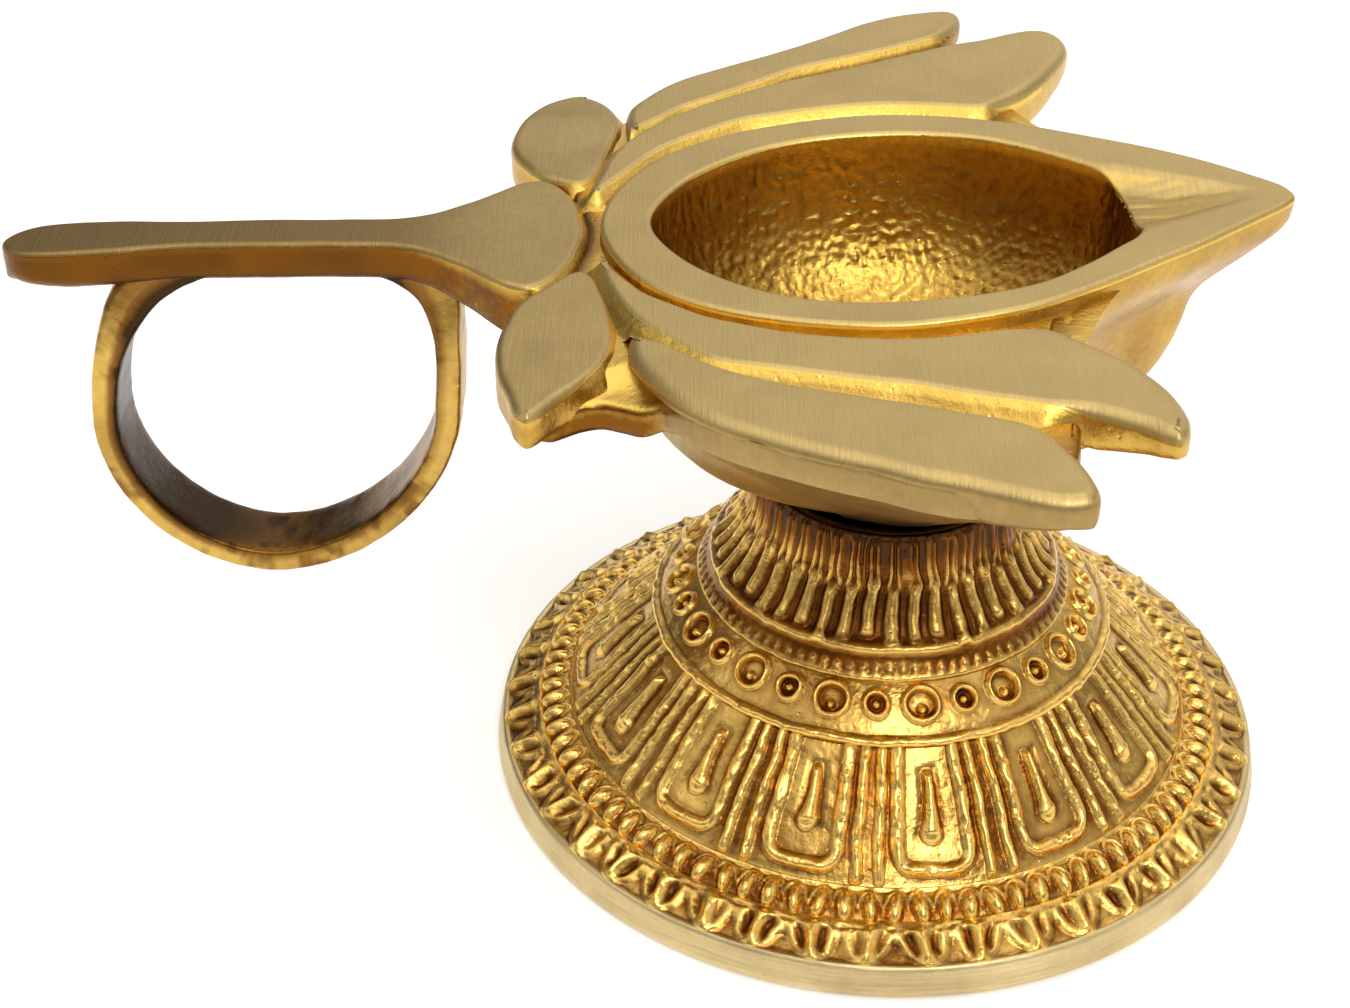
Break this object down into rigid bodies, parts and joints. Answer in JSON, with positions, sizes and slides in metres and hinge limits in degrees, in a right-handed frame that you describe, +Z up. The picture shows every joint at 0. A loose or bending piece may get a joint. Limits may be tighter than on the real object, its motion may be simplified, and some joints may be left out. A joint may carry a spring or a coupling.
{
  "type": "diya oil lamp",
  "caption": "Cast brass diya: a pointed oil bowl between raised petals, a handle with a finger ring behind it, on a hollow round foot chased with rings of ornament.",
  "frame": {"origin": "on the ground, under the middle of the lamp's length and width", "axes": "+X towards the spout, -X towards the handle's tail, +Z up"},
  "size_m": [0.1024, 0.0814, 0.052],
  "materials": {
    "brushed_brass": "ground flat and brushed on top, as cast below",
    "cast_brass": "cast and chased, bright on raised ornament",
    "fixings": "zinc plated"
  },
  "bodies": {
    "root": {"lamp": "brushed_brass", "foot": "cast_brass", "fixing_stud": "fixings", "washer": "fixings", "hex_nut": "fixings"}
  },
  "joints": []
}
